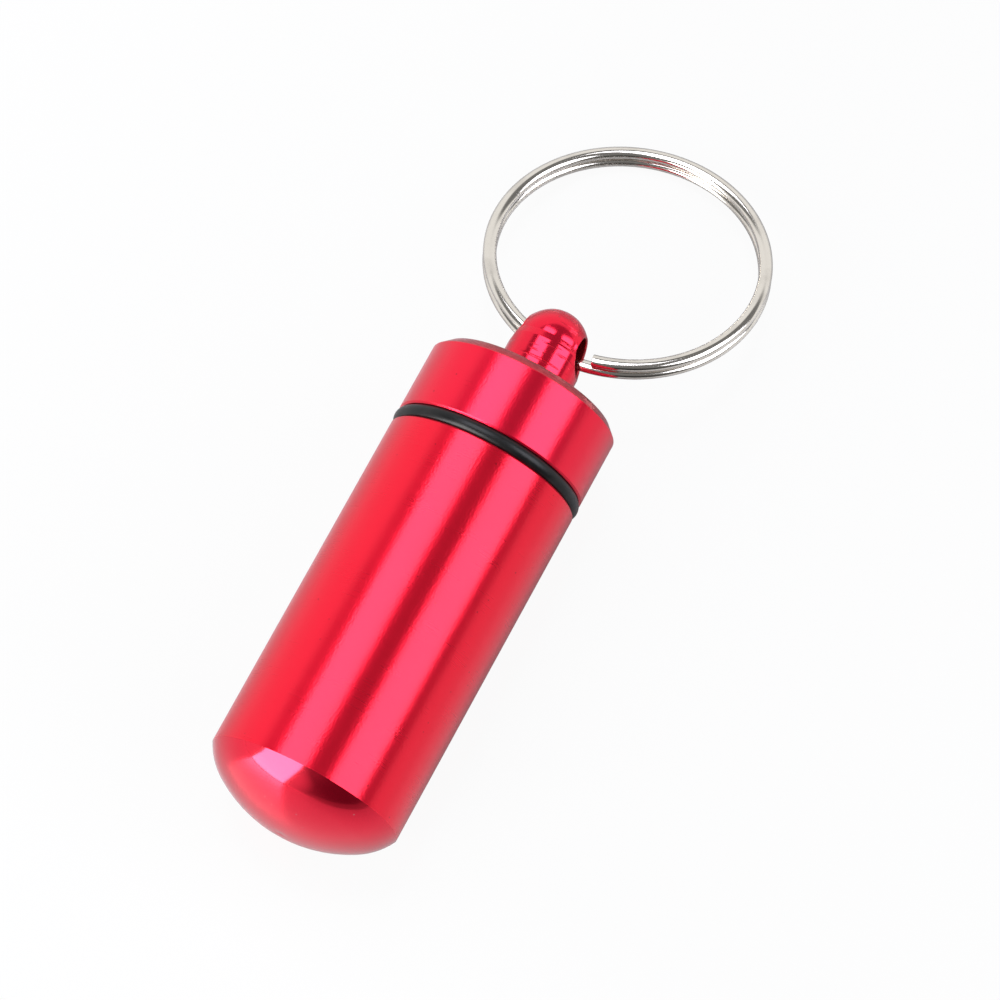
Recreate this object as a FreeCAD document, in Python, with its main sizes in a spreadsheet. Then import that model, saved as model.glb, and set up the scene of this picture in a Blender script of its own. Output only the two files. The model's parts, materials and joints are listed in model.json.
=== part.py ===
import FreeCAD, Part
import math
import os
from types import SimpleNamespace

import Sketcher

# Pill fob: a screw-top vial of turned aluminium on a split ring, lying on its side as it is laid on a table.
# +X runs along the fob from its dome to its ring and +Z is up. The origin is on the table, under the middle
# of the whole fob.

# Driving dimensions, in millimetres and degrees
DIMENSIONS = {
    # Vial: a tube closed by a low dome that meets the side in a sharp crease
    "body_diameter": 17.0,
    "tube_length": 30.85,
    "dome_height": 4.1,
    "dome_shoulder_radius": 5.6,
    "dome_crease_angle": 27.0,
    "cavity_wall": 2.25,
    "cavity_floor": 1.5,
    "drill_point_angle": 118.0,
    "edge_break": 0.15,
    # Screw joint: both threads are left plain, the plug a running clearance inside the mouth's bore
    "thread_wall": 1.5,
    "thread_clearance": 0.05,
    "thread_depth": 7.0,
    "thread_engagement": 6.0,
    "thread_lead_in": 0.4,
    # Seal: an O-ring squeezed flat between the mouth and the cap's shoulder
    "seal_height": 1.25,
    "seal_side_radius": 1.0,
    # Cap and its round-nosed neck
    "cap_height": 6.8,
    "cap_chamfer": 0.8,
    "neck_diameter": 6.6,
    "neck_height": 7.4,
    "hole_diameter": 3.4,
    "hole_wall": 1.4,
    "hole_edge_break": 0.2,
    "cap_roll": 6.7,
    # Split ring: flattened wire wound in two turns, with its jog inside the neck's hole
    "ring_outer_diameter": 24.5,
    "wire_width": 1.15,
    "wire_height": 0.72,
    "wire_side_radius": 0.7,
    "coil_gap": 0.42,
    "upper_end_angle": 19.0,
    "lower_end_angle": 12.0,
    "jog_margin_angle": 4.0,
    "jog_bend_radius": 2.9,
    "ring_skew": 6.2,
}

FULL_TURN = 360.0
QUARTER_TURN = 90.0
ARCS_PER_TURN = 4
GAP_STEP_ANGLE = 1.0
GAP_REACH_ANGLE = 5.0
GAP_POINTS_PER_SIDE = 6
TABLE_SEARCH_HALVINGS = 60
RIM_TOLERANCE = 0.01


class Size:
    """A size that carries its number and the sheet expression that it comes from."""

    def __init__(self, number, text):
        self.number = number
        self.text = text

    def __add__(self, other):
        other = as_size(other)
        return Size(self.number + other.number, f"({self.text} + {other.text})")

    def __sub__(self, other):
        other = as_size(other)
        return Size(self.number - other.number, f"({self.text} - {other.text})")

    def __mul__(self, other):
        other = as_size(other)
        return Size(self.number * other.number, f"({self.text} * {other.text})")

    def __truediv__(self, other):
        other = as_size(other)
        return Size(self.number / other.number, f"({self.text} / {other.text})")


ZERO = Size(0.0, "0")


def as_size(value):
    """A bare number as a size."""
    return value if isinstance(value, Size) else Size(float(value), str(value))


def sine(angle):
    """The sine of an angle in degrees."""
    return Size(math.sin(math.radians(angle.number)), f"sin({angle.text})")


def cosine(angle):
    """The cosine of an angle in degrees."""
    return Size(math.cos(math.radians(angle.number)), f"cos({angle.text})")


def tangent(angle):
    """The tangent of an angle in degrees."""
    return Size(math.tan(math.radians(angle.number)), f"tan({angle.text})")


def root(size):
    """The square root of a size."""
    return Size(math.sqrt(size.number), f"sqrt({size.text})")


class Corner:
    """A corner of an outline, and the radius of the arc that arrives at it, if that edge is round."""

    def __init__(self, x, y, radius=None, clockwise=False):
        self.x = as_size(x)
        self.y = as_size(y)
        self.radius = radius
        self.clockwise = clockwise

    def point(self):
        """The corner's place in its sketch."""
        return FreeCAD.Vector(self.x.number, self.y.number, 0)


def make_sheet(doc):
    """Write the driving dimensions to the sheet, and return them by name as sizes."""
    sheet = doc.addObject("Spreadsheet::Sheet", "Sizes")
    for row, (name, number) in enumerate(DIMENSIONS.items(), start=1):
        sheet.set(f"A{row}", name)
        sheet.set(f"B{row}", str(number))
        sheet.setAlias(f"B{row}", name)
    doc.recompute()
    return SimpleNamespace(**{name: Size(float(sheet.get(name)), f"Sizes.{name}") for name in DIMENSIONS})


def new_body(doc, name):
    """A body labelled with its node's name."""
    body = doc.addObject("PartDesign::Body", name)
    body.Label = name
    return body


def new_sketch(body, name, role):
    """An empty sketch on one of the body's origin planes."""
    sketch = body.newObject("Sketcher::SketchObject", name)
    plane = next(feature for feature in body.Origin.OriginFeatures if feature.Role == role)
    sketch.AttachmentSupport = [(plane, "")]
    sketch.MapMode = "FlatFace"
    return sketch


def bind(sketch, constraint, size):
    """Add a constraint whose value follows a size."""
    index = sketch.addConstraint(constraint)
    sketch.setExpression(f"Constraints[{index}]", size.text)


def arc_edge(start, corner):
    """The arc from a start point to a corner, always drawn anticlockwise as a sketch keeps it."""
    end = corner.point()
    chord = end - start
    radius = corner.radius.number
    side = FreeCAD.Vector(-chord.y, chord.x, 0).normalize()
    if corner.clockwise:
        side = side * -1
    offset = math.sqrt(max(radius**2 - (chord.Length / 2)**2, 0))
    centre = (start + end) * 0.5 + side * offset
    first, last = (end, start) if corner.clockwise else (start, end)
    start_angle = math.atan2(first.y - centre.y, first.x - centre.x)
    end_angle = math.atan2(last.y - centre.y, last.x - centre.x)
    circle = Part.Circle(centre, FreeCAD.Vector(0, 0, 1), radius)
    return Part.ArcOfCircle(circle, start_angle, end_angle)


def draw_outline(sketch, corners):
    """Close a sketch round its corners, each held at its place and each arc at its radius."""
    starts = []
    ends = []
    for index, corner in enumerate(corners):
        start = corners[index - 1].point()
        if corner.radius is None:
            edge = sketch.addGeometry(Part.LineSegment(start, corner.point()))
        else:
            edge = sketch.addGeometry(arc_edge(start, corner))
        starts.append((edge, 2 if corner.clockwise else 1))
        ends.append((edge, 1 if corner.clockwise else 2))
    for index, corner in enumerate(corners):
        following = starts[(index + 1) % len(corners)]
        sketch.addConstraint(Sketcher.Constraint("Coincident", *ends[index], *following))
        if corner.x is ZERO:
            sketch.addConstraint(Sketcher.Constraint("PointOnObject", *ends[index], -2))
        else:
            held = Sketcher.Constraint("DistanceX", -1, 1, *ends[index], corner.x.number)
            bind(sketch, held, corner.x)
        if corner.y is ZERO:
            sketch.addConstraint(Sketcher.Constraint("PointOnObject", *ends[index], -1))
        else:
            held = Sketcher.Constraint("DistanceY", -1, 1, *ends[index], corner.y.number)
            bind(sketch, held, corner.y)
        if corner.radius is not None:
            round_edge = Sketcher.Constraint("Radius", ends[index][0], corner.radius.number)
            bind(sketch, round_edge, corner.radius)


def turn(body, name, sketch):
    """Turn a sketch about the fob's axis into a solid."""
    feature = body.newObject("PartDesign::Revolution", name)
    feature.Profile = sketch
    feature.ReferenceAxis = (sketch, ["H_Axis"])
    feature.Angle = FULL_TURN
    return feature


def bore(body, name, sketch):
    """Turn a sketch about the fob's axis into a hollow of the body."""
    feature = body.newObject("PartDesign::Groove", name)
    feature.Profile = sketch
    feature.ReferenceAxis = (sketch, ["H_Axis"])
    feature.Angle = FULL_TURN
    return feature


def thread_radius(s):
    """The radius of the mouth's bore, at the thread's outer size."""
    return s.body_diameter / 2 - s.thread_wall


def dome_corners(s):
    """The dome's outline from its tip: a wide arc centred on the axis, then a tighter shoulder to the crease."""
    body_radius = s.body_diameter / 2
    shoulder = s.dome_shoulder_radius
    shoulder_x = s.dome_height + shoulder * sine(s.dome_crease_angle)
    shoulder_y = body_radius - shoulder * cosine(s.dome_crease_angle)
    reach = shoulder_x * shoulder_x + shoulder_y * shoulder_y - shoulder * shoulder
    crown = reach / ((shoulder_x - shoulder) * 2)
    stretch = crown / (crown - shoulder)
    join_x = crown + (shoulder_x - crown) * stretch
    join_y = shoulder_y * stretch
    return [
        Corner(ZERO, ZERO),
        Corner(join_x, join_y, radius=crown, clockwise=True),
        Corner(s.dome_height, body_radius, radius=shoulder, clockwise=True),
    ]


def make_vial(doc, s):
    """The vial, from the tip of its dome at its own origin to its mouth."""
    body = new_body(doc, "vial_body")
    body_radius = s.body_diameter / 2
    mouth = s.dome_height + s.tube_length
    outside = new_sketch(body, "vial_outside", "XY_Plane")
    draw_outline(outside, dome_corners(s) + [
        Corner(mouth - s.edge_break, body_radius),
        Corner(mouth, body_radius - s.edge_break),
        Corner(mouth, ZERO),
    ])
    turn(body, "vial_turned", outside)

    cavity_radius = body_radius - s.cavity_wall
    mouth_radius = thread_radius(s)
    floor = s.dome_height + s.cavity_floor
    drill_tip = floor - cavity_radius / tangent(s.drill_point_angle / 2)
    thread_end = mouth - s.thread_depth
    cavity = new_sketch(body, "vial_cavity", "XY_Plane")
    draw_outline(cavity, [
        Corner(drill_tip, ZERO),
        Corner(floor, cavity_radius),
        Corner(thread_end, cavity_radius),
        Corner(thread_end, mouth_radius),
        Corner(mouth - s.thread_lead_in, mouth_radius),
        Corner(mouth, mouth_radius + s.thread_lead_in),
        Corner(mouth, ZERO),
    ])
    bore(body, "vial_bored", cavity)
    return body


def make_seal(doc, s):
    """The O-ring, squeezed to the gap it fills: flat against both faces, with its sides still round."""
    body = new_body(doc, "o_ring_seal")
    side_radius = s.seal_side_radius
    half_height = s.seal_height / 2
    bulge = side_radius - root(side_radius * side_radius - half_height * half_height)
    inner = thread_radius(s) + bulge
    outer = s.body_diameter / 2 - bulge
    section = new_sketch(body, "seal_section_outline", "XY_Plane")
    draw_outline(section, [
        Corner(ZERO, outer),
        Corner(s.seal_height, outer, radius=side_radius, clockwise=True),
        Corner(s.seal_height, inner),
        Corner(ZERO, inner, radius=side_radius, clockwise=True),
    ])
    turn(body, "seal_turned", section)
    return body


def hole_height(s):
    """From the cap's top to the cross hole's centre, under a wall at the tip of the neck."""
    return s.neck_height - s.hole_wall - s.hole_diameter / 2


def hole_rim(shape, hole_radius, hole_x):
    """The names of the edges where the cross hole comes out of the neck."""
    names = []
    for index, edge in enumerate(shape.Edges, start=1):
        if edge.Degenerated or isinstance(edge.Curve, Part.Line):
            continue
        middle = edge.valueAt((edge.FirstParameter + edge.LastParameter) / 2)
        from_axis = math.hypot(middle.x - hole_x, middle.z)
        if abs(from_axis - hole_radius) < RIM_TOLERANCE:
            names.append(f"Edge{index}")
    return names


def make_cap(doc, s):
    """The cap, from the end of its plug at its own origin to the round nose of its neck."""
    body = new_body(doc, "screw_cap")
    body_radius = s.body_diameter / 2
    plug_radius = thread_radius(s) - s.thread_clearance
    shoulder = s.thread_engagement + s.seal_height
    top = shoulder + s.cap_height
    neck_radius = s.neck_diameter / 2
    nose = top + s.neck_height
    outline = new_sketch(body, "cap_outline", "XY_Plane")
    draw_outline(outline, [
        Corner(ZERO, ZERO),
        Corner(ZERO, plug_radius - s.thread_lead_in),
        Corner(s.thread_lead_in, plug_radius),
        Corner(shoulder, plug_radius),
        Corner(shoulder, body_radius - s.edge_break),
        Corner(shoulder + s.edge_break, body_radius),
        Corner(top - s.cap_chamfer, body_radius),
        Corner(top, body_radius - s.cap_chamfer),
        Corner(top, neck_radius),
        Corner(nose - neck_radius, neck_radius),
        Corner(nose, ZERO, radius=neck_radius, clockwise=True),
    ])
    turn(body, "cap_turned", outline)

    hole_x = top + hole_height(s)
    hole_radius = s.hole_diameter / 2
    hole = new_sketch(body, "cross_hole_outline", "XZ_Plane")
    circle = Part.Circle(FreeCAD.Vector(hole_x.number, 0, 0), FreeCAD.Vector(0, 0, 1), hole_radius.number)
    hole.addGeometry(circle)
    hole.addConstraint(Sketcher.Constraint("PointOnObject", 0, 3, -1))
    bind(hole, Sketcher.Constraint("DistanceX", -1, 1, 0, 3, hole_x.number), hole_x)
    bind(hole, Sketcher.Constraint("Radius", 0, hole_radius.number), hole_radius)
    drilled = body.newObject("PartDesign::Pocket", "cross_hole")
    drilled.Profile = hole
    drilled.SideType = "Symmetric"
    drilled.Type = "Length"
    drilled.setExpression("Length", s.body_diameter.text)
    doc.recompute()

    broken = body.newObject("PartDesign::Chamfer", "cross_hole_edges")
    broken.Base = (drilled, hole_rim(drilled.Shape, hole_radius.number, hole_x.number))
    broken.setExpression("Size", s.hole_edge_break.text)
    return body


def ring_radius(s):
    """The mean radius of the split ring's turns."""
    return (s.ring_outer_diameter - s.wire_width).number / 2


def ring_reach(s):
    """From the hole's centre to the ring's, with the wire's bow across the neck shared to both sides."""
    radius = ring_radius(s)
    half_neck = s.neck_diameter.number / 2
    bow = radius - math.sqrt(radius**2 - half_neck**2)
    return radius - bow / 2


def coil_pitch(s):
    """From the middle of one turn's wire to the middle of the other's."""
    return (s.wire_height + s.coil_gap).number


def outward(s, angle):
    """The direction out from the ring's centre, at an angle round the ring from the hole."""
    heading = math.radians(angle - s.ring_skew.number) + math.pi
    return FreeCAD.Vector(math.cos(heading), math.sin(heading), 0)


def ring_centre(s, height):
    """A point on the ring's own axis, at a height from its middle plane."""
    return outward(s, 0) * -ring_reach(s) + FreeCAD.Vector(0, 0, height)


def ring_point(s, angle, height):
    """A point on a turn, at an angle round the ring from the hole and a height from its middle plane."""
    return ring_centre(s, height) + outward(s, angle) * ring_radius(s)


def flat_turn(s, first, last, height):
    """A turn in one plane, as arcs of about a quarter turn each."""
    step = (last - first) / ARCS_PER_TURN
    edges = []
    for index in range(ARCS_PER_TURN):
        start = first + index * step
        points = [ring_point(s, start + share * step, height) for share in (0, 0.5, 1)]
        edges.append(Part.Arc(*points).toShape())
    return edges


def tangent_arc(start, corner, end):
    """The arc between two points whose tangents meet at a corner as far from one as from the other."""
    middle = (start + end) * 0.5
    half_chord = (end - start).Length / 2
    half_sweep = math.acos(half_chord / (corner - start).Length)
    rise = (corner - middle).normalize() * (half_chord * math.tan(half_sweep / 2))
    return Part.Arc(start, middle + rise, end).toShape()


def jog_bend(s, angle, middle, height):
    """Points along a tight level bend, from a turn at an angle to the jog's straight run across its middle."""
    bend = s.jog_bend_radius.number
    centre = ring_centre(s, height) + outward(s, angle) * (ring_radius(s) - bend)
    return [centre + outward(s, at) * bend for at in (angle, (angle + middle) / 2, middle)]


def jog(s, first, last, height):
    """The wire's step from the upper turn to the lower: a bend, two arcs down a run straight in plan, a bend."""
    middle = (first + last) / 2
    leaving = jog_bend(s, first, middle, height)
    arriving = jog_bend(s, last, middle, -height)
    top = leaving[-1]
    foot = arriving[-1]
    halfway = (top + foot) * 0.5
    along = FreeCAD.Vector(foot.x - top.x, foot.y - top.y, 0).normalize()
    half_run = halfway - top
    reach = along * (half_run.dot(half_run) / (2 * half_run.dot(along)))
    return [
        Part.Arc(*leaving).toShape(),
        tangent_arc(top, top + reach, halfway),
        tangent_arc(halfway, foot - reach, foot),
        Part.Arc(*reversed(arriving)).toShape(),
    ]


def side_half_sweep(s):
    """Half the angle that a bowed side of the wire's section sweeps."""
    return math.asin(s.wire_height.number / 2 / s.wire_side_radius.number)


def side_points(s, at, across, upward, count):
    """Points along a bowed side of the wire's section, from its lower corner to its upper one."""
    radius = s.wire_side_radius.number
    middle = at + across * (s.wire_width.number / 2 - radius)
    points = []
    for index in range(count + 1):
        angle = side_half_sweep(s) * (2 * index / count - 1)
        points.append(middle + across * (radius * math.cos(angle)) + upward * (radius * math.sin(angle)))
    return points


def wire_section(s, at, across, upward):
    """The flattened wire's section: two flats joined by bowed sides."""
    outer = side_points(s, at, across, upward, 2)
    inner = side_points(s, at, across * -1, upward * -1, 2)
    return Part.Wire([
        Part.Arc(*outer).toShape(),
        Part.LineSegment(outer[-1], inner[0]).toShape(),
        Part.Arc(*inner).toShape(),
        Part.LineSegment(inner[-1], outer[0]).toShape(),
    ])


def section_points(s, at, across, upward):
    """Points on both sides of the wire's section, for measuring between turns."""
    outer = side_points(s, at, across, upward, GAP_POINTS_PER_SIDE)
    return outer + side_points(s, at, across * -1, upward, GAP_POINTS_PER_SIDE)


def least_gap(s, edges):
    """The least distance between the two turns' surfaces, measured on points along the wire."""
    stations = []
    travelled = 0.0
    step = math.radians(GAP_STEP_ANGLE) * ring_radius(s)
    for edge in edges:
        count = max(2, round(edge.Length / step))
        for index in range(count):
            parameter = edge.FirstParameter + (edge.LastParameter - edge.FirstParameter) * index / count
            at = edge.valueAt(parameter)
            along = edge.tangentAt(parameter)
            across = at - ring_centre(s, at.z)
            upward = across.cross(along).normalize()
            across = along.cross(upward)
            stations.append((travelled + edge.Length * index / count, section_points(s, at, across, upward)))
        travelled += edge.Length
    full = 2 * math.pi * ring_radius(s)
    reach = math.radians(GAP_REACH_ANGLE) * ring_radius(s)
    gap = full
    for first_place, first_points in stations:
        for second_place, second_points in stations:
            if abs(second_place - first_place - full) > reach:
                continue
            for first in first_points:
                gap = min(gap, min(first.distanceToPoint(second) for second in second_points))
    return gap


def make_ring(doc, s):
    """The split ring: one wire in two flat turns with a jog between them, the hole's centre at its own origin."""
    height = coil_pitch(s) / 2
    upper_end = s.upper_end_angle.number
    lower_end = FULL_TURN - s.lower_end_angle.number
    jog_start = lower_end + s.jog_margin_angle.number
    jog_end = FULL_TURN + upper_end - s.jog_margin_angle.number
    edges = flat_turn(s, upper_end, jog_start, height)
    edges += jog(s, jog_start, jog_end, height)
    edges += flat_turn(s, jog_end, FULL_TURN + lower_end, -height)
    path = Part.Wire(edges)

    at = ring_point(s, upper_end, height)
    section = wire_section(s, at, outward(s, upper_end), FreeCAD.Vector(0, 0, 1))
    solid = path.makePipeShell([section], True, False)
    wire_length = sum(edge.Length for edge in edges)
    area = Part.Face(section).Area
    print(f"split ring: wire {wire_length:.2f} mm long, volume {solid.Volume:.3f}"
          f" for section times length {area * wire_length:.3f} mm3")
    print(f"split ring: least gap between turns {least_gap(s, edges):.3f} mm")

    ring = doc.addObject("Part::Feature", "split_ring")
    ring.Label = "split_ring"
    ring.Shape = solid
    return ring


def ring_turn(s, swing):
    """The ring's rotation on the fob: swung down about the hole, and rolled with the cap."""
    drop = FreeCAD.Rotation(FreeCAD.Vector(0, 1, 0), swing)
    roll = FreeCAD.Rotation(FreeCAD.Vector(1, 0, 0), -s.cap_roll.number)
    return roll.multiply(drop)


def ring_extent(s, swing, direction):
    """The ring's middle from the hole's centre, and its reach either way, along a direction."""
    rotation = ring_turn(s, swing)
    centre = rotation.multVec(ring_centre(s, 0))
    lean = math.asin(abs(rotation.multVec(FreeCAD.Vector(0, 0, 1)).dot(direction)))
    side_radius = s.wire_side_radius.number
    side_middle = s.ring_outer_diameter.number / 2 - side_radius
    bow = side_radius * math.cos(max(lean - side_half_sweep(s), 0))
    reach = side_middle * math.cos(lean) + coil_pitch(s) / 2 * math.sin(lean) + bow
    return centre.dot(direction), reach


def swing_to_table(s):
    """The angle that the ring swings down by until it meets the table that the fob lies on."""
    up = FreeCAD.Vector(0, 0, 1)
    table = -s.body_diameter.number / 2
    high = 0.0
    low = QUARTER_TURN
    for _ in range(TABLE_SEARCH_HALVINGS):
        swing = (high + low) / 2
        middle, reach = ring_extent(s, swing, up)
        if middle - reach > table:
            high = swing
        else:
            low = swing
    return high


def place_parts(s, vial, seal, cap, ring):
    """Lay the fob on the table and move the middle of its box over the origin."""
    mouth = (s.dome_height + s.tube_length).number
    shoulder = mouth + s.seal_height.number
    plug_end = mouth - s.thread_engagement.number
    hole = shoulder + (s.cap_height + hole_height(s)).number
    body_radius = s.body_diameter.number / 2
    swing = swing_to_table(s)
    middle_x, reach_x = ring_extent(s, swing, FreeCAD.Vector(1, 0, 0))
    middle_y, reach_y = ring_extent(s, swing, FreeCAD.Vector(0, 1, 0))
    length = max(hole + middle_x + reach_x, shoulder + (s.cap_height + s.neck_height).number)
    left = min(middle_y - reach_y, -body_radius)
    right = max(middle_y + reach_y, body_radius)
    start = FreeCAD.Vector(-length / 2, -(left + right) / 2, body_radius)

    level = FreeCAD.Rotation()
    roll = FreeCAD.Rotation(FreeCAD.Vector(1, 0, 0), -s.cap_roll.number)
    along = FreeCAD.Vector(1, 0, 0)
    vial.Placement = FreeCAD.Placement(start, level)
    seal.Placement = FreeCAD.Placement(start + along * mouth, level)
    cap.Placement = FreeCAD.Placement(start + along * plug_end, roll)
    ring.Placement = FreeCAD.Placement(start + along * hole, ring_turn(s, swing))
    axis = roll.multVec(FreeCAD.Vector(0, -1, 0))
    print(f"ring swings down {swing:.4f} degrees about the hole at"
          f" {tuple(round(value, 4) for value in start + along * hole)},"
          f" axis {tuple(round(value, 6) for value in axis)}")
    print(f"fob axis through {tuple(round(value, 4) for value in start)}")


def check_and_write(doc, parts):
    """Stop on any failed object or bad shape, then write each piece to its own file."""
    doc.recompute()
    for item in doc.Objects:
        if "Invalid" in item.State or "Error" in item.State:
            raise RuntimeError(f"{item.Label} failed: {item.State}")
    for part in parts:
        if part.Shape.isNull() or not part.Shape.isValid():
            raise RuntimeError(f"{part.Label} has no valid shape")
    for whole, cut in (("vial_turned", "vial_bored"), ("cap_turned", "cross_hole")):
        if doc.getObject(cut).Shape.Volume >= doc.getObject(whole).Shape.Volume:
            raise RuntimeError(f"{cut} cuts nothing")
    os.makedirs("parts", exist_ok=True)
    for part in parts:
        path = os.path.join("parts", f"{part.Label}.step")
        part.Shape.exportStep(path)
        if not Part.read(path).isValid():
            raise RuntimeError(f"{part.Label} isn't valid in its file")
        print(f"{part.Label}: {len(part.Shape.Solids)} solid, {part.Shape.Volume:.2f} mm3")


def main():
    """Build the fob."""
    doc = FreeCAD.newDocument("pill_fob")
    s = make_sheet(doc)
    vial = make_vial(doc, s)
    seal = make_seal(doc, s)
    cap = make_cap(doc, s)
    ring = make_ring(doc, s)
    doc.recompute()
    place_parts(s, vial, seal, cap, ring)
    check_and_write(doc, [vial, seal, cap, ring])


main()
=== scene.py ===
import json
import logging
import math
from collections.abc import Callable, Sequence
from dataclasses import dataclass
from enum import Enum, IntEnum

import bmesh
import bpy
from mathutils import Matrix, Vector


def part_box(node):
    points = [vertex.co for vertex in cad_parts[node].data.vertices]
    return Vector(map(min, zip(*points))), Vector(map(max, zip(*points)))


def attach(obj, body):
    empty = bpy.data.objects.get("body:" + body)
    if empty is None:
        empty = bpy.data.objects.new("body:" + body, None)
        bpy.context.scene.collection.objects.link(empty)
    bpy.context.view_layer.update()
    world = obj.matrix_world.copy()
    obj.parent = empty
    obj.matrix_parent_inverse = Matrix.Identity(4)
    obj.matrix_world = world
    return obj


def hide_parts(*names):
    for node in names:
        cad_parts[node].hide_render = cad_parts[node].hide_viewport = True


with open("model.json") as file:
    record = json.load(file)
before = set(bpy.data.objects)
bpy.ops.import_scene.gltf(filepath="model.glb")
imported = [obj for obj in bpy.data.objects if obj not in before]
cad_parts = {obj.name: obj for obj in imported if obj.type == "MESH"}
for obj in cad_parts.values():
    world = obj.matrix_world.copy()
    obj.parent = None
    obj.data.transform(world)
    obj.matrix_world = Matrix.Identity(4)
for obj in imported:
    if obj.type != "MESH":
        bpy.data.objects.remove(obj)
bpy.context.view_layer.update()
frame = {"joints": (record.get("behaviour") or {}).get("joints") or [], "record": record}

# A pill fob on a split ring. Sizes are in millimetres and degrees, and each mesh is scaled to metres as it
# is placed. Along the fob, x is measured from the centre of the vial's mouth, towards the ring.
LOG = logging.getLogger("pill_fob")
MM = 0.001
FULL_TURN = 360.0
QUARTER_TURN = 90.0
QUARTER_TURN_SHARE = 0.25
ROUND_STEPS = 192
ARC_STEP = 4.0
FEWEST_ARC_STEPS = 2
SHARP_ANGLE = 24.0
MERGE_DISTANCE = 1e-5
MEASURES = ("DOT_PRODUCT", "LENGTH")

Colour = tuple[float, float, float]
Socket = bpy.types.NodeSocket
Value = Socket | float | Colour

UP = Vector((0.0, 0.0, 1.0))
ALONG = Vector((1.0, 0.0, 0.0))
EVEN = Vector((1.0, 1.0, 1.0))
WHITE: Colour = (1.0, 1.0, 1.0)


class Body(Enum):
    """The bodies that pieces ride on."""

    VIAL = "vial"
    SEAL = "seal"
    CAP = "cap"
    RING = "ring"


class Slot(Enum):
    """The record's material slots."""

    ANODISED = "red_anodised"
    RUBBER = "black_rubber"
    STEEL = "plated_steel"


class Lay(Enum):
    """Which way the tool marks of a turned surface repeat."""

    ALONG_AXIS = "rings side by side along the axis"
    ACROSS_FACE = "rings one inside another on a face"


class Mix(Enum):
    """What a mix node mixes: its type, then the places of its two inputs and of its result."""

    NUMBER = ("FLOAT", 2, 3, 0)
    COLOUR = ("RGBA", 6, 7, 2)


class Easing(Enum):
    """How a value runs between the two ends of its range."""

    STRAIGHT = "LINEAR"
    GENTLE = "SMOOTHSTEP"


class VialFace(IntEnum):
    """The vial's faces, in the order of its finishes."""

    SIDE = 0
    DOME = 1
    INSIDE = 2


class CapFace(IntEnum):
    """The cap's faces, in the order of its finishes."""

    SIDE = 0
    TOP = 1
    CUT_EDGE = 2
    NECK = 3
    HOLE = 4


@dataclass(frozen=True)
class Layout:
    """Where the fob lies, read from the frame.

    Attributes:
        mouth: The centre of the vial's mouth, in metres.
        body_radius: The vial's outer radius.
        tip: The dome's tip along the fob.
        plug_end: The cap's inner end along the fob.
        shoulder: The cap's shoulder on the seal along the fob.
        nose: The neck's end along the fob.
        hole: The neck's hole along the fob.
        cap_roll: How far the cap is turned from where its hole lies along Y, in radians.
        hole_point: The hole's centre, in metres.
        ring_centre: The split ring's centre, in metres.
        ring_normal: The split ring's axis.
    """

    mouth: Vector
    body_radius: float
    tip: float
    plug_end: float
    shoulder: float
    nose: float
    hole: float
    cap_roll: float
    hole_point: Vector
    ring_centre: Vector
    ring_normal: Vector

    @classmethod
    def read(cls) -> "Layout":
        """Work out the places from the nodes' boxes, the ring's hinge and the ring's mount.

        Returns:
            The layout, with points in metres and places along the fob in millimetres.
        """
        vial_low, vial_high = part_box("vial_body")
        cap_low, cap_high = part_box("screw_cap")
        seal_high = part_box("o_ring_seal")[1]
        middle = (vial_low + vial_high) / 2
        mouth = Vector((vial_high.x, middle.y, middle.z))
        hinge = next(joint for joint in frame["joints"] if joint["name"] == "ring_swing")
        loop = frame["record"]["mounts"][0]
        hole_point = Vector(hinge["pos_m"])
        axis = Vector(hinge["axis"])
        return cls(
            mouth=mouth,
            body_radius=(vial_high.z - vial_low.z) / 2 / MM,
            tip=(vial_low.x - mouth.x) / MM,
            plug_end=(cap_low.x - mouth.x) / MM,
            shoulder=(seal_high.x - mouth.x) / MM,
            nose=(cap_high.x - mouth.x) / MM,
            hole=(hole_point.x - mouth.x) / MM,
            cap_roll=-math.atan2(axis.z, -axis.y),
            hole_point=hole_point,
            ring_centre=Vector(loop["pos_m"]),
            ring_normal=Vector(loop["axis"]).normalized(),
        )

    def along_fob(self, roll: float = 0.0) -> Matrix:
        """The matrix that places a mesh drawn along the fob, rolled about it by radians."""
        return Matrix.Translation(self.mouth) @ Matrix.Rotation(roll, 4, "X") @ Matrix.Scale(MM, 4)

    def about_ring(self) -> Matrix:
        """The matrix that places a mesh drawn about the ring's own axis, with the hole on its +X side.

        Returns:
            The placing matrix.
        """
        normal = self.ring_normal
        to_hole = self.hole_point - self.ring_centre
        to_hole = (to_hole - normal * to_hole.dot(normal)).normalized()
        return turned_to(to_hole, normal, self.ring_centre) @ Matrix.Scale(MM, 4)


def turned_to(right: Vector, back: Vector, place: Vector) -> Matrix:
    """The matrix that turns a thing's X and Z axes to two directions and moves it to a place."""
    turn = Matrix((right, back.cross(right), back)).transposed().to_4x4()
    return Matrix.Translation(place) @ turn


def direction(bearing: float, height: float) -> Vector:
    """A direction away from the fob.

    Args:
        bearing: Its angle round the fob, from +X towards +Y.
        height: Its angle over the table.

    Returns:
        The direction, one unit long.
    """
    turn = math.radians(bearing)
    rise = math.radians(height)
    return Vector((math.cos(rise) * math.cos(turn), math.cos(rise) * math.sin(turn), math.sin(rise)))


def held(share: float) -> float:
    """A share held between 0 and 1."""
    return min(max(share, 0.0), 1.0)


def put_at_radius(vertex: bmesh.types.BMVert, radius: float) -> None:
    """Move a vertex straight out from the fob's axis, or in, to a radius."""
    vertex.co.yz = vertex.co.yz.normalized() * radius


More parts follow.
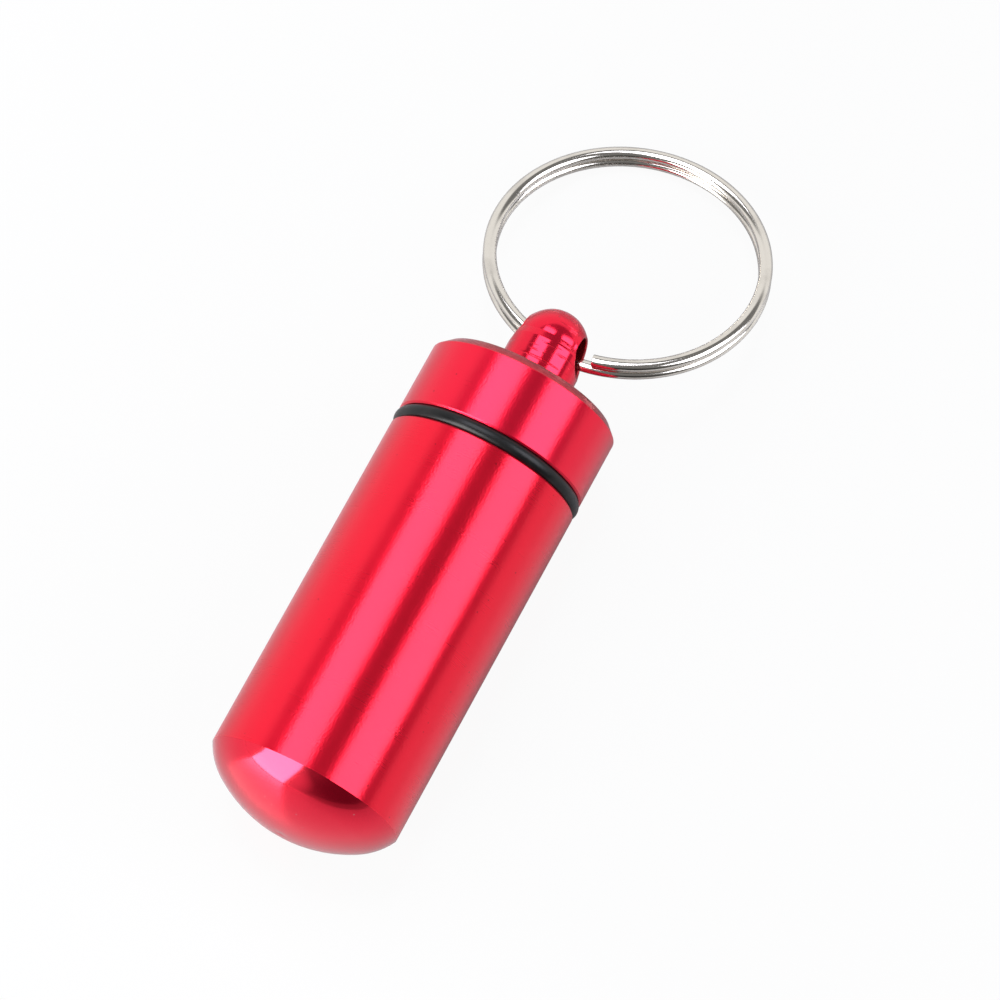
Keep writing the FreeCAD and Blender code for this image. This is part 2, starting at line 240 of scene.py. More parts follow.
class Outline:
    """A chain of lines and arcs in the plane of the fob's axis, x along the axis and y out from it."""

    def __init__(self, x: float, radius: float) -> None:
        """Start the chain at a place along the axis and a radius."""
        self.mesh = bmesh.new()
        self.end = self.mesh.verts.new((x, radius, 0.0))

    def line_to(self, x: float, radius: float) -> "Outline":
        """Carry the chain on in a straight line.

        Args:
            x: Where the line ends along the axis.
            radius: How far from the axis it ends.

        Returns:
            The outline itself, so that calls can follow one another.
        """
        self.end = bmesh.ops.extrude_vert_indiv(self.mesh, verts=[self.end])["verts"][0]
        self.end.co = (x, radius, 0.0)
        return self

    def arc_about(self, x: float, radius: float, sweep: float) -> "Outline":
        """Carry the chain on in an arc.

        Args:
            x: The arc centre's place along the axis.
            radius: The arc centre's distance from the axis.
            sweep: The angle that the arc turns through, positive anticlockwise.

        Returns:
            The outline itself, so that calls can follow one another.
        """
        steps = max(FEWEST_ARC_STEPS, round(abs(sweep) / ARC_STEP))
        spun = bmesh.ops.spin(
            self.mesh, geom=[self.end], cent=(x, radius, 0.0), axis=(0.0, 0.0, 1.0),
            angle=math.radians(sweep), steps=steps, use_merge=False,
        )
        self.end = next(item for item in spun["geom_last"] if isinstance(item, bmesh.types.BMVert))
        return self

    def turned(self) -> bmesh.types.BMesh:
        """Spin the chain about the fob's axis.

        Returns:
            The closed surface that it sweeps, facing outwards.
        """
        bmesh.ops.spin(
            self.mesh, geom=self.mesh.verts[:] + self.mesh.edges[:], cent=(0.0, 0.0, 0.0),
            axis=(1.0, 0.0, 0.0), angle=math.radians(FULL_TURN), steps=ROUND_STEPS, use_merge=True,
        )
        return tidied(self.mesh)


def tidied(mesh: bmesh.types.BMesh) -> bmesh.types.BMesh:
    """Merge a mesh's doubles and point its faces outwards.

    Args:
        mesh: The mesh to tidy.

    Returns:
        The same mesh.
    """
    bmesh.ops.remove_doubles(mesh, verts=mesh.verts[:], dist=MERGE_DISTANCE)
    bmesh.ops.recalc_face_normals(mesh, faces=mesh.faces[:])
    return mesh


def add_shell(mesh: bmesh.types.BMesh, shell: bmesh.types.BMesh) -> None:
    """Put a second shell into a mesh, and free it.

    Args:
        mesh: The mesh that takes the shell.
        shell: The shell to add.
    """
    carrier = bpy.data.meshes.new("shell")
    shell.to_mesh(carrier)
    shell.free()
    mesh.from_mesh(carrier)
    bpy.data.meshes.remove(carrier)


def paint(mesh: bmesh.types.BMesh, index: int, chosen: Callable[[float, float, Vector], bool]) -> None:
    """Give one of the piece's finishes to some of its faces.

    Args:
        mesh: A mesh drawn along the fob's axis.
        index: The finish's place in the piece's list.
        chosen: Says whether a face takes it, from its middle's x and radius and its normal.
    """
    for face in mesh.faces:
        middle = face.calc_center_median()
        if chosen(middle.x, math.hypot(middle.y, middle.z), face.normal):
            face.material_index = index


def make_piece(
    name: str, mesh: bmesh.types.BMesh, place: Matrix, finishes: Sequence[bpy.types.Material],
    body: Body, node: str,
) -> bpy.types.Object:
    """Turn a finished bmesh into a piece of the fob that stands for a CAD node.

    Args:
        name: The piece's name.
        mesh: Its shape, in its own frame in millimetres.
        place: The matrix that places it in the row frame.
        finishes: Its materials, in the order of its faces' indices.
        body: The body that it rides on.
        node: The CAD node that it stands for.

    Returns:
        The piece.
    """
    bmesh.ops.transform(mesh, matrix=place, verts=mesh.verts[:])
    for face in mesh.faces:
        face.smooth = True
    data = bpy.data.meshes.new(name)
    mesh.to_mesh(data)
    mesh.free()
    data.set_sharp_from_angle(angle=math.radians(SHARP_ANGLE))
    for finish in finishes:
        data.materials.append(finish)
    piece = bpy.data.objects.new(name, data)
    bpy.context.scene.collection.objects.link(piece)
    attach(piece, body.value)
    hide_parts(node)
    return piece


@dataclass(frozen=True)
class Span:
    """A range of values, from one to another."""

    start: float
    end: float


UNIT = Span(0.0, 1.0)
REVERSED = Span(1.0, 0.0)
NOISE_MIDDLE = Span(0.3, 0.7)


class Graph:
    """A node tree, with short calls for the nodes that the finishes and the studio share."""

    def __init__(self, tree: bpy.types.NodeTree) -> None:
        """Take the node tree that nodes are added to."""
        self.tree = tree

    def node(self, kind: str, **settings: object) -> bpy.types.Node:
        """Add a node.

        Args:
            kind: The node's type.
            settings: Values for its own properties.

        Returns:
            The node.
        """
        made = self.tree.nodes.new(kind)
        for key, value in settings.items():
            setattr(made, key, value)
        return made

    def wire(self, source: Value, target: Socket) -> None:
        """Link an output to an input, or set the input to a number or a colour.

        Args:
            source: The output, the number or the colour.
            target: The input.
        """
        if isinstance(source, Socket):
            self.tree.links.new(source, target)
        else:
            target.default_value = (*source, 1.0) if isinstance(source, tuple) else source

    def on_vector(self, operation: str, vector: Socket, by: Sequence[float] = (0.0, 0.0, 0.0)) -> Socket:
        """A vector changed or measured.

        Args:
            operation: The operation's name.
            vector: The vector.
            by: The other vector, where the operation takes two.

        Returns:
            A number where the operation is one of the measures, and otherwise a vector.
        """
        made = self.node("ShaderNodeVectorMath", operation=operation)
        self.wire(vector, made.inputs[0])
        made.inputs[1].default_value = by
        return made.outputs["Value" if operation in MEASURES else "Vector"]

    def mapped(self, origin: Vector, scale: Sequence[float] = EVEN) -> Socket:
        """Object coordinates, measured from a point in metres and scaled along each axis."""
        place = self.node("ShaderNodeTexCoord").outputs["Object"]
        return self.on_vector("MULTIPLY", self.on_vector("SUBTRACT", place, origin), scale)

    def noise(self, vector: Socket, detail: float) -> Socket:
        """Noise with one cell for each unit of its coordinates.

        Args:
            vector: The coordinates.
            detail: How many octaves are added.

        Returns:
            The noise's value.
        """
        made = self.node("ShaderNodeTexNoise")
        self.wire(1.0, made.inputs["Scale"])
        self.wire(detail, made.inputs["Detail"])
        self.wire(vector, made.inputs["Vector"])
        return made.outputs["Fac"]

    def ranged(self, value: Socket, span: Span, to: Span, easing: Easing = Easing.STRAIGHT) -> Socket:
        """A value carried from one range to another, and held inside it.

        Args:
            value: The value.
            span: Its own range.
            to: What the range becomes.
            easing: How the change runs between the two ends.

        Returns:
            The new value.
        """
        made = self.node("ShaderNodeMapRange", clamp=True, interpolation_type=easing.value)
        self.wire(value, made.inputs["Value"])
        self.wire(span.start, made.inputs["From Min"])
        self.wire(span.end, made.inputs["From Max"])
        self.wire(to.start, made.inputs["To Min"])
        self.wire(to.end, made.inputs["To Max"])
        return made.outputs["Result"]

    def combined(self, operation: str, first: Socket, second: Value = 0.0) -> Socket:
        """Two values joined by a sum, product or other operation.

        Args:
            operation: The operation's name.
            first: One value.
            second: The other, where the operation takes two.

        Returns:
            The result.
        """
        made = self.node("ShaderNodeMath", operation=operation)
        self.wire(first, made.inputs[0])
        self.wire(second, made.inputs[1])
        return made.outputs["Value"]

    def mixed(self, mix: Mix, factor: Socket, first: Value, second: Value) -> Socket:
        """A number or colour between two others.

        Args:
            mix: What is mixed.
            factor: How far the result is towards the second.
            first: The first number or colour.
            second: The second number or colour.

        Returns:
            The mixed number or colour.
        """
        data_type, first_place, second_place, result_place = mix.value
        made = self.node("ShaderNodeMix", data_type=data_type)
        self.wire(factor, made.inputs["Factor"])
        self.wire(first, made.inputs[first_place])
        self.wire(second, made.inputs[second_place])
        return made.outputs[result_place]


class Shader(Graph):
    """A material's node tree, with the surface shader that it ends in."""

    def __init__(self, name: str) -> None:
        """Start a material with its surface shader alone.

        Args:
            name: The material's name.
        """
        self.material = bpy.data.materials.new(name)
        self.material.use_nodes = True
        super().__init__(self.material.node_tree)
        self.surface = self.tree.nodes["Principled BSDF"]

    def feed(self, **values: Value) -> None:
        """Link or set the surface shader's own inputs, named with underscores for spaces."""
        for key, value in values.items():
            self.wire(value, self.surface.inputs[key.replace("_", " ")])

    def grained(self, origin: Vector, size: float, detail: float) -> Socket:
        """Noise of one size every way, in millimetres, measured from a point in metres."""
        return self.noise(self.mapped(origin, EVEN / (size * MM)), detail)

    def bumped(self, height: Socket, depth: float = 1.0) -> None:
        """Raise the surface by a pattern.

        Args:
            height: The pattern.
            depth: How high its 1 stands, in millimetres.
        """
        made = self.node("ShaderNodeBump")
        self.wire(1.0, made.inputs["Strength"])
        self.wire(depth * MM, made.inputs["Distance"])
        self.wire(height, made.inputs["Height"])
        self.feed(Normal=made.outputs["Normal"], Coat_Normal=made.outputs["Normal"])

    def specks(self, origin: Vector, spacing: float, size: float) -> Socket:
        """A few tiny pits, some way apart.

        Args:
            origin: The point that the pattern is measured from, in metres.
            spacing: How far apart they lie, in millimetres.
            size: How wide the largest is, in millimetres.

        Returns:
            1 inside a pit and 0 elsewhere.
        """
        cells = self.node("ShaderNodeTexVoronoi")
        self.wire(1.0, cells.inputs["Scale"])
        self.wire(self.mapped(origin, EVEN / (spacing * MM)), cells.inputs["Vector"])
        reach = size / spacing / 2
        return self.ranged(cells.outputs["Distance"], Span(reach, reach / 2), UNIT)


@dataclass(frozen=True)
class AnodisedFinish:
    """Turned aluminium, dyed red and sealed: the tool's marks and a grain show through the clear film."""

    name: str
    lay: Lay
    roughness: float
    anisotropy: float
    mark_pitch: float
    mark_depth: float
    metal_share: float = 0.84
    colour: Colour = (0.84, 0.0062, 0.038)
    deep_colour: Colour = (0.825, 0.0061, 0.0372)
    deep_span: Span = Span(0.12, 0.40)
    film: float = 0.24
    film_roughness: float = 0.12
    film_index: float = 1.5
    mark_run: float = 4.0
    mark_spread: float = 0.15
    mark_detail: float = 3.0
    cut_span: Span = UNIT
    cloud_size: float = 3.0
    cloud_detail: float = 4.0
    cloud_span: Span = Span(0.3, 0.8)
    cloud_roughness: float = 0.03
    speck_colour: Colour = (0.34, 0.006, 0.016)
    speck_spacing: float = 1.5
    speck_size: float = 0.17
    grain_size: float = 0.18
    grain_depth: float = 0.0
    grain_detail: float = 2.0

    def marks(self, shader: Shader, axis: Vector) -> Socket:
        """The tool's marks, as a pattern from 0 to 1.

        Args:
            shader: The material being made.
            axis: A point on the turning axis, in metres.

        Returns:
            The pattern.
        """
        fine = 1.0 / (self.mark_pitch * MM)
        slow = 1.0 / (self.mark_run * MM)
        if self.lay is Lay.ALONG_AXIS:
            return shader.noise(shader.mapped(axis, (fine, slow, slow)), self.mark_detail)
        rings = shader.node("ShaderNodeCombineXYZ")
        shader.wire(shader.on_vector("LENGTH", shader.mapped(axis, (0.0, fine, fine))), rings.inputs["X"])
        return shader.noise(rings.outputs["Vector"], self.mark_detail)

    def relief(self, shader: Shader, axis: Vector, marks: Socket, specks: Socket) -> Socket:
        """The height of the surface: the marks and the grain stand on it and the pits lie in it.

        Args:
            shader: The material being made.
            axis: A point on the turning axis, in metres.
            marks: The tool's marks.
            specks: The pits.

        Returns:
            The height, in millimetres.
        """
        cut = shader.ranged(marks, self.cut_span, Span(0.0, self.mark_depth))
        pits = shader.ranged(specks, UNIT, Span(0.0, self.mark_depth))
        grain = shader.grained(axis, self.grain_size, self.grain_detail)
        lumps = shader.ranged(grain, UNIT, Span(0.0, self.grain_depth))
        return shader.combined("SUBTRACT", shader.combined("ADD", cut, lumps), pits)

    def material(self, axis: Vector) -> bpy.types.Material:
        """Make the material.

        Args:
            axis: A point on the turning axis, in metres.

        Returns:
            The material.
        """
        shader = Shader(self.name)
        marks = self.marks(shader, axis)
        clouds = shader.grained(axis, self.cloud_size, self.cloud_detail)
        specks = shader.specks(axis, self.speck_spacing, self.speck_size)
        deep = shader.ranged(shader.combined("MULTIPLY", marks, clouds), self.deep_span, REVERSED)
        dyed = shader.mixed(Mix.COLOUR, deep, self.colour, self.deep_colour)
        spread = self.roughness * self.mark_spread
        brushed = shader.ranged(marks, NOISE_MIDDLE, Span(self.roughness - spread, self.roughness + spread))
        dulled = shader.ranged(clouds, self.cloud_span, Span(0.0, self.cloud_roughness))
        tangent = shader.node("ShaderNodeTangent", direction_type="RADIAL", axis="X")
        shader.feed(
            Base_Color=shader.mixed(Mix.COLOUR, specks, dyed, self.speck_colour), Metallic=self.metal_share,
            Roughness=shader.combined("ADD", brushed, dulled), Tangent=tangent.outputs["Tangent"],
            Anisotropic=self.anisotropy, Anisotropic_Rotation=QUARTER_TURN_SHARE,
            Coat_Weight=self.film, Coat_Roughness=self.film_roughness, Coat_IOR=self.film_index,
        )
        shader.bumped(self.relief(shader, axis, marks, specks))
        return shader.material


@dataclass(frozen=True)
class BareFinish:
    """Aluminium cut after it was dyed, so that the metal shows with only a breath of red left on it."""

    name: str = "bare_aluminium"
    colour: Colour = (0.59, 0.068, 0.086)
    stained_colour: Colour = (0.46, 0.030, 0.043)
    stain_size: float = 0.8
    stain_detail: float = 5.0
    stain_span: Span = Span(0.45, 0.75)
    stain_share: Span = Span(0.0, 0.8)
    roughness: Span = Span(0.224, 0.336)
    mark_pitch: float = 0.05
    mark_depth: float = 0.0007
    mark_detail: float = 2.0

    def material(self, axis: Vector) -> bpy.types.Material:
        """Make the material.

        Args:
            axis: A point on the turning axis, in metres.

        Returns:
            The material.
        """
        shader = Shader(self.name)
        fine = 1.0 / (self.mark_pitch * MM)
        slow = 1.0 / (self.stain_size * MM)
        stain = shader.grained(axis, self.stain_size, self.stain_detail)
        marks = shader.noise(shader.mapped(axis, (fine, slow, slow)), self.mark_detail)
        stained = shader.ranged(stain, self.stain_span, self.stain_share)
        shader.feed(
            Base_Color=shader.mixed(Mix.COLOUR, stained, self.colour, self.stained_colour), Metallic=1.0,
            Roughness=shader.ranged(marks, NOISE_MIDDLE, self.roughness),
        )
        shader.bumped(marks, self.mark_depth)
        return shader.material


@dataclass(frozen=True)
class RubberFinish:
    """Moulded black rubber: matt, faintly grained, a little greyer where it has been handled."""

    name: str = "black_rubber"
    colour: Colour = (0.004, 0.004, 0.0043)
    worn_colour: Colour = (0.011, 0.0106, 0.0102)
    wear_size: float = 1.6
    wear_detail: float = 5.0
    wear_span: Span = Span(0.45, 0.75)
    roughness: Span = Span(0.272, 0.384)
    index: float = 1.32
    grain_size: float = 0.10
    grain_depth: float = 0.004
    grain_detail: float = 4.0

    def material(self, axis: Vector) -> bpy.types.Material:
        """Make the material.

        Args:
            axis: A point on the seal's axis, in metres.

        Returns:
            The material.
        """
        shader = Shader(self.name)
        grain = shader.grained(axis, self.grain_size, self.grain_detail)
        wear = shader.grained(axis, self.wear_size, self.wear_detail)
        worn = shader.ranged(wear, self.wear_span, UNIT)
        shader.feed(
            Base_Color=shader.mixed(Mix.COLOUR, worn, self.colour, self.worn_colour), Metallic=0.0,
            Roughness=shader.ranged(grain, NOISE_MIDDLE, self.roughness), IOR=self.index,
        )
        shader.bumped(grain, self.grain_depth)
        return shader.material


@dataclass(frozen=True)
class PlatedFinish:
    """Bright plate on drawn steel wire: the die's marks run along it and the plate hazes here and there."""

    name: str = "plated_steel"
    colour: Colour = (0.75, 0.71, 0.65)
    hazed_colour: Colour = (0.60, 0.56, 0.51)
    haze_size: float = 2.2
    haze_detail: float = 5.0
    haze_span: Span = Span(0.5, 0.8)
    haze_roughness: float = 0.08
    roughness: Span = Span(0.088, 0.1375)
    mark_pitch: float = 0.10
    mark_depth: float = 0.0007
    mark_detail: float = 2.0

    def material(self, layout: Layout) -> bpy.types.Material:
        """Make the material.

        Args:
            layout: Where the fob lies.

        Returns:
            The material.
        """
        shader = Shader(self.name)
        normal = layout.ring_normal / (self.mark_pitch * MM)
        around = shader.mapped(layout.ring_centre)
        outward = shader.on_vector("LENGTH", shader.on_vector("CROSS_PRODUCT", around, normal))
        across = shader.node("ShaderNodeCombineXYZ")
        shader.wire(outward, across.inputs["X"])
        shader.wire(shader.on_vector("DOT_PRODUCT", around, normal), across.inputs["Y"])
        marks = shader.noise(across.outputs["Vector"], self.mark_detail)
        haze = shader.grained(layout.ring_centre, self.haze_size, self.haze_detail)
        hazed = shader.ranged(haze, self.haze_span, UNIT)
        drawn = shader.ranged(marks, NOISE_MIDDLE, self.roughness)
        dulled = shader.ranged(haze, self.haze_span, Span(0.0, self.haze_roughness))
        shader.feed(
            Base_Color=shader.mixed(Mix.COLOUR, hazed, self.colour, self.hazed_colour), Metallic=1.0,
            Roughness=shader.combined("ADD", drawn, dulled),
        )
        shader.bumped(marks, self.mark_depth)
        return shader.material


@dataclass(frozen=True)
class Thread:
    """A fine right-hand screw thread of one start, made as a ridge on a plain wall."""

    pitch: float = 1.0
    outer_radius: float = 6.95
    pitch_radius: float = 6.675
    male_root_radius: float = 6.40
    female_crest_radius: float = 6.47
    female_root_radius: float = 7.0
    flank_angle: float = 30.0
    flank_clearance: float = 0.02
    sink: float = 0.12
    steps_in_turn: int = 96

    def half_width(self, radius: float, outward: bool) -> float:
        """Half the width, at a radius, of a ridge that stands out, as on the cap, or in."""
        slope = math.tan(math.radians(self.flank_angle)) * (-1 if outward else 1)
        return self.pitch / 4 - self.flank_clearance + (radius - self.pitch_radius) * slope

    def ridge(self, first: float, last: float, outward: bool) -> bmesh.types.BMesh:
        """Wind a ridge between two places along the fob.

        Args:
            first: Where its middle starts.
            last: Where its middle ends.
            outward: Whether the ridge stands out, as on the cap, or in, as in the vial.

        Returns:
            The closed ridge.
        """
        foot = self.male_root_radius - self.sink if outward else self.female_root_radius + self.sink
        crest = self.outer_radius if outward else self.female_crest_radius
        start = 0.0 if outward else self.pitch / 2
        turns = (last - first) / self.pitch
        steps = round(turns * self.steps_in_turn)
        lead = math.radians(FULL_TURN) * (first - start) / self.pitch
        mesh = bmesh.new()
        corners = []
        for radius, way in ((foot, -1), (crest, -1), (crest, 1), (foot, 1)):
            x = first + way * self.half_width(radius, outward)
            corners.append(mesh.verts.new((x, radius * math.cos(lead), radius * math.sin(lead))))
        section = mesh.faces.new(corners)
        loop = section.edges[:]
        bmesh.ops.delete(mesh, geom=[section], context="FACES_ONLY")
        spun = bmesh.ops.spin(
            mesh, geom=corners + loop, cent=(0.0, 0.0, 0.0), axis=(1.0, 0.0, 0.0),
            dvec=((last - first) / steps, 0.0, 0.0), angle=math.radians(FULL_TURN) * turns, steps=steps,
            use_merge=False,
        )
        far = [item for item in spun["geom_last"] if isinstance(item, bmesh.types.BMEdge)]
        bmesh.ops.contextual_create(mesh, geom=loop)
        bmesh.ops.contextual_create(mesh, geom=far)
        return tidied(mesh)


@dataclass
class Vial:
    """The turned vial: a tube closed by a low dome, bored and threaded from its mouth."""

    layout: Layout
    thread: Thread
    dome_height: float = 4.1
    dome_shoulder_radius: float = 5.6
    dome_crease_angle: float = 27.0
    crease_break: float = 0.06
    pip_radius: float = 0.30
    pip_floor_radius: float = 0.18
    pip_depth: float = 0.025
    cavity_wall: float = 2.25
    cavity_floor: float = 1.5
    drill_point_angle: float = 118.0
    edge_break: float = 0.15
    thread_depth: float = 7.0
    lead_in: float = 0.4
    run_out: float = 0.55

    def outside(self) -> Outline:
        """The outline from the dome's tip to the mouth's face.

        Returns:
            The outline, open at the mouth's inner edge.
        """
        radius = self.layout.body_radius
        tip = self.layout.tip
        crease = math.radians(self.dome_crease_angle)
        shoulder = self.dome_shoulder_radius
        shoulder_x = self.dome_height + shoulder * math.sin(crease)
        shoulder_r = radius - shoulder * math.cos(crease)
        crown = (shoulder_x**2 + shoulder_r**2 - shoulder**2) / (2 * (shoulder_x - shoulder))
        join = math.degrees(math.atan2(shoulder_r, crown - shoulder_x))
        pip = math.degrees(math.asin(self.pip_radius / crown))
        start = crown * (1 - math.cos(math.radians(pip)))
        outline = Outline(tip + start + self.pip_depth, 0.0)
        outline.line_to(tip + start + self.pip_depth, self.pip_floor_radius)
        outline.line_to(tip + start, self.pip_radius)
        outline.arc_about(tip + crown, 0.0, pip - join)
        outline.arc_about(tip + shoulder_x, shoulder_r, join + self.dome_crease_angle - QUARTER_TURN)
        outline.line_to(tip + self.dome_height + self.crease_break, radius)
        outline.line_to(-self.edge_break, radius)
        outline.line_to(0.0, radius - self.edge_break)
        return outline

    def build(self) -> bmesh.types.BMesh:
        """Make the vial's mesh.

        Returns:
            The mesh, along the fob in millimetres.
        """
        cavity = self.layout.body_radius - self.cavity_wall
        bore = self.thread.female_root_radius
        floor = self.layout.tip + self.dome_height + self.cavity_floor
        point = floor - cavity / math.tan(math.radians(self.drill_point_angle / 2))
        outline = self.outside()
        outline.line_to(0.0, bore + self.lead_in)
        outline.line_to(-self.lead_in, bore)
        outline.line_to(-self.thread_depth, bore)
        outline.line_to(-self.thread_depth, cavity)
        outline.line_to(floor, cavity)
        outline.line_to(point, 0.0)
        mesh = outline.turned()
        ridge = self.thread.ridge(-self.thread_depth + self.run_out, -self.run_out, outward=False)
        for vertex in ridge.verts:
            cone = bore + self.lead_in + vertex.co.x
            if vertex.co.yz.length < cone:
                put_at_radius(vertex, cone)
        add_shell(mesh, ridge)
        return mesh

    def dress(self, mesh: bmesh.types.BMesh) -> bpy.types.Object:
        """Give the vial its finishes and place it.

        Args:
            mesh: The vial's mesh.

        Returns:
            The piece.
        """
        crease = self.layout.tip + self.dome_height
        inner = self.layout.body_radius - self.edge_break * 2
        paint(mesh, VialFace.DOME, lambda x, radius, normal: x < crease)
        paint(mesh, VialFace.INSIDE, lambda x, radius, normal: x > crease and radius < inner)
        looks = {VialFace.SIDE: SATIN_SIDE, VialFace.DOME: BRIGHT_DOME, VialFace.INSIDE: BORED_INSIDE}
        finishes = [looks[face].material(self.layout.mouth) for face in VialFace]
        place = self.layout.along_fob()
        return make_piece("turned_vial", mesh, place, finishes, Body.VIAL, "vial_body")


@dataclass
class Seal:
    """The O-ring, squeezed between the mouth and the cap's shoulder until its sides bulge."""

    layout: Layout
    inner_radius: float = 7.0
    side_radius: float = 0.70
    proud: float = 0.10

    def build(self) -> bmesh.types.BMesh:
        """Make the seal's mesh.

        Returns:
            The mesh, along the fob in millimetres.
        """
        half = self.layout.shoulder / 2
        sweep = math.degrees(math.asin(half / self.side_radius))
        bulge = self.side_radius - math.sqrt(self.side_radius**2 - half**2)
        outer = self.layout.body_radius + self.proud - bulge
        inner = self.inner_radius + bulge
        outline = Outline(0.0, inner)
        outline.line_to(0.0, outer)
        outline.arc_about(half, outer + bulge - self.side_radius, -2 * sweep)
        outline.line_to(2 * half, inner)
        outline.arc_about(half, inner - bulge + self.side_radius, -2 * sweep)
        return outline.turned()

    def dress(self, mesh: bmesh.types.BMesh) -> bpy.types.Object:
        """Give the seal its finish and place it.

        Args:
            mesh: The seal's mesh.

        Returns:
            The piece.
        """
        finishes = [RUBBER.material(self.layout.mouth)]
        place = self.layout.along_fob()
        return make_piece("rubber_seal", mesh, place, finishes, Body.SEAL, "o_ring_seal")


@dataclass
class Cap:
    """The turned cap: a threaded plug, a chamfered disc and a round-nosed neck with a cross hole."""

    layout: Layout
    thread: Thread
    cap_height: float = 6.8
    chamfer: float = 0.8
    edge_break: float = 0.15
    corner_break: float = 0.04
    flatness: float = 0.95
    neck_radius: float = 3.3
    step_drop: float = 0.33
    step_width: float = 0.62
    step_depth: float = 0.165
    step_fade: float = 0.30
    root_fillet: float = 0.22
    hole_radius: float = 1.7
    rim_break: float = 0.16
    lead_in: float = 0.4
    land: float = 0.35
    run_out: float = 0.30
    neck_steps: int = 480
    neck_rings: int = 24
    rim_rings: int = 4

    @property
    def top(self) -> float:
        """Where the cap's top face lies along the fob."""
        return self.layout.shoulder + self.cap_height

    def disc(self) -> bmesh.types.BMesh:
        """The plug and the disc, closed under the neck.

        Returns:
            The mesh, along the fob in millimetres.
        """
        plug = self.thread.male_root_radius
        land = self.thread.outer_radius
        radius = self.layout.body_radius
        shoulder = self.layout.shoulder
        end = self.layout.plug_end
        top = self.top
        outline = Outline(end, 0.0)
        outline.line_to(end, plug - self.corner_break)
        outline.line_to(end + self.corner_break, plug)
        outline.line_to(-self.land - (land - plug), plug)
        outline.line_to(-self.land, land)
        outline.line_to(shoulder, land)
        outline.line_to(shoulder, radius - self.edge_break)
        outline.line_to(shoulder + self.edge_break, radius)
        outline.line_to(top - self.chamfer - self.corner_break, radius)
        outline.line_to(top - self.chamfer, radius - self.corner_break / 2)
        outline.line_to(top - self.corner_break / 2, radius - self.chamfer)
        outline.line_to(top, radius - self.chamfer - self.corner_break)
        outline.line_to(top, self.neck_radius + self.root_fillet)
        outline.arc_about(top + self.root_fillet, self.neck_radius + self.root_fillet, -QUARTER_TURN)
        outline.line_to(top + self.root_fillet, 0.0)
        return outline.turned()

    def neck_height(self, x: float, across: float) -> float:
        """The height of the neck's surface over the plane through its axis, square to the hole."""
        past = max(x - (self.layout.nose - self.neck_radius), 0.0)
        return math.sqrt(max(self.neck_radius**2 - across**2 - past**2, 0.0))

    def neck_edge(self, angle: float) -> float:
        """From the hole's centre to the neck's edge, in the plane through the axis, square to the hole.

        Args:
            angle: The direction from the hole's centre, from the fob's axis.

        Returns:
            The distance.
        """
        along = math.cos(angle)
        across = abs(math.sin(angle))
        base = self.top + self.root_fillet - self.layout.hole
        offset = self.layout.hole - (self.layout.nose - self.neck_radius)
        nose = math.sqrt(self.neck_radius**2 - (offset * across)**2) - offset * along
        if offset + nose * along >= 0.0:
            return nose
        side = self.neck_radius / max(across, MERGE_DISTANCE)
        return min(side, base / along)

    def neck_point(self, angle: float, share: float) -> Vector:
        """A point on the neck's outer surface, in the plane's own frame.

        Args:
            angle: The direction from the hole's centre.
            share: From 0 at the hole's broken rim to 1 at the neck's edge.

        Returns:
            The point, its z over the plane.
        """
        rim = self.hole_radius + self.rim_break
        reach = rim + (self.neck_edge(angle) - rim) * math.sin(share * math.pi / 2)
        x = self.layout.hole + reach * math.cos(angle)
        across = reach * math.sin(angle)
        on_edge = share == 1.0 and not self.on_base(x)
        return Vector((x, across, 0.0 if on_edge else self.neck_height(x, across)))

    def on_base(self, x: float) -> bool:
        """Whether a place along the fob is at the foot of the neck."""
        return x < self.top + self.root_fillet + MERGE_DISTANCE

    def rim_point(self, angle: float, share: float) -> Vector:
        """A point on the hole's rounded rim.

        Args:
            angle: The direction from the hole's centre.
            share: From 0 at the hole's wall to 1 at the neck's surface.

        Returns:
            The point, its z over the plane.
        """
        outer = self.neck_point(angle, 0.0)
        turn = share * math.pi / 2
        reach = self.hole_radius + self.rim_break * (1 - math.cos(turn))
        drop = self.rim_break * (1 - math.sin(turn))
        return Vector((self.layout.hole + reach * math.cos(angle), reach * math.sin(angle), outer.z - drop))

    def neck(self) -> bmesh.types.BMesh:
        """The neck, grown as rings of edges from the hole's middle out to its rim and over the surface.

        Returns:
            The closed mesh, along the fob in millimetres, the hole along its own Y axis.
        """
        mesh = bmesh.new()
        ring = bmesh.ops.create_circle(mesh, segments=self.neck_steps, radius=self.hole_radius)["verts"]
        angles = [math.atan2(vertex.co.y, vertex.co.x) for vertex in ring]
        bmesh.ops.translate(mesh, verts=ring, vec=(self.layout.hole, 0.0, 0.0))
        shares = [(self.rim_point, step / self.rim_rings) for step in range(self.rim_rings)]
        shares += [(self.neck_point, step / self.neck_rings) for step in range(self.neck_rings + 1)]
        for place, share in shares:
            around = dict(zip(ring, angles))
            edges = [edge for edge in mesh.edges if all(vertex in around for vertex in edge.verts)]
            grown = bmesh.ops.extrude_edge_only(mesh, edges=edges)["geom"]
            ring = [item for item in grown if isinstance(item, bmesh.types.BMVert)]
            angles = []
            for vertex in ring:
                neighbours = [edge.other_vert(vertex) for edge in vertex.link_edges]
                angle = next(around[neighbour] for neighbour in neighbours if neighbour in around)
                angles.append(angle)
                vertex.co = place(angle, share)
        shell = mesh.verts[:] + mesh.edges[:] + mesh.faces[:]
        bmesh.ops.mirror(mesh, geom=shell, merge_dist=MERGE_DISTANCE, axis="Z")
        bmesh.ops.remove_doubles(mesh, verts=mesh.verts[:], dist=MERGE_DISTANCE)
        foot = [edge for edge in mesh.edges if edge.is_boundary]
        bmesh.ops.contextual_create(mesh, geom=foot)
        self.step_in(mesh)
        bmesh.ops.rotate(mesh, verts=mesh.verts[:], matrix=Matrix.Rotation(math.pi / 2, 3, "X"))
        return tidied(mesh)

